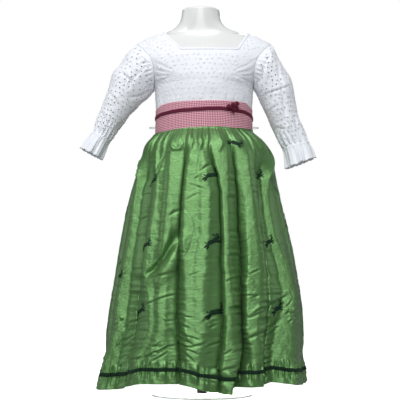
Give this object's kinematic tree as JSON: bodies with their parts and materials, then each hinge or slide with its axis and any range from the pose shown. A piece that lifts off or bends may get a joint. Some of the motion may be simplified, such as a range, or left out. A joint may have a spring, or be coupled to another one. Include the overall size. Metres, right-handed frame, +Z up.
{
  "type": "dirndl dress on a limbless dress form with a stand",
  "caption": "Child's dirndl: white eyelet bodice and sleeves, checked waistband with velvet ribbon and bow, long gathered taffeta skirt, worn by a limbless dress form on a stand.",
  "frame": {"origin": "centre of the base plate's underside, on the pole's axis", "axes": "+Z up along the pole, the dress's front faces -Y, +X is the viewer's right"},
  "size_m": [0.4669, 0.3426, 0.768],
  "materials": {
    "eyelet_cotton": "matt white cotton with embroidered eyelets",
    "gingham": "matt raspberry and white small check",
    "burgundy_velvet": "velvet ribbon",
    "green_taffeta": "crisp taffeta with a shot sheen",
    "dark_velvet": "velvet ribbon and embroidery thread",
    "pale_thread": "twisted thread",
    "form_white": "glossy off-white",
    "pole_black": "satin black",
    "plate_white": "satin white"
  },
  "bodies": {
    "root": {"bodice_front": "eyelet_cotton", "bodice_back": "eyelet_cotton", "neck_binding": "eyelet_cotton", "sleeve_left": "eyelet_cotton", "sleeve_right": "eyelet_cotton", "cuff_frill_left": "eyelet_cotton", "cuff_frill_right": "eyelet_cotton", "waistband": "gingham", "waist_ribbon": "burgundy_velvet", "bow_knot": "burgundy_velvet", "bow_loop_left": "burgundy_velvet", "bow_loop_right": "burgundy_velvet", "bow_tail_left": "burgundy_velvet", "bow_tail_right": "burgundy_velvet", "belt_loop_left": "pale_thread", "belt_loop_right": "pale_thread", "skirt_front": "green_taffeta", "skirt_back": "green_taffeta", "hem_ribbon": "dark_velvet", "dress_form": "form_white", "stand_pole": "pole_black", "stand_plate": "plate_white"}
  },
  "joints": []
}
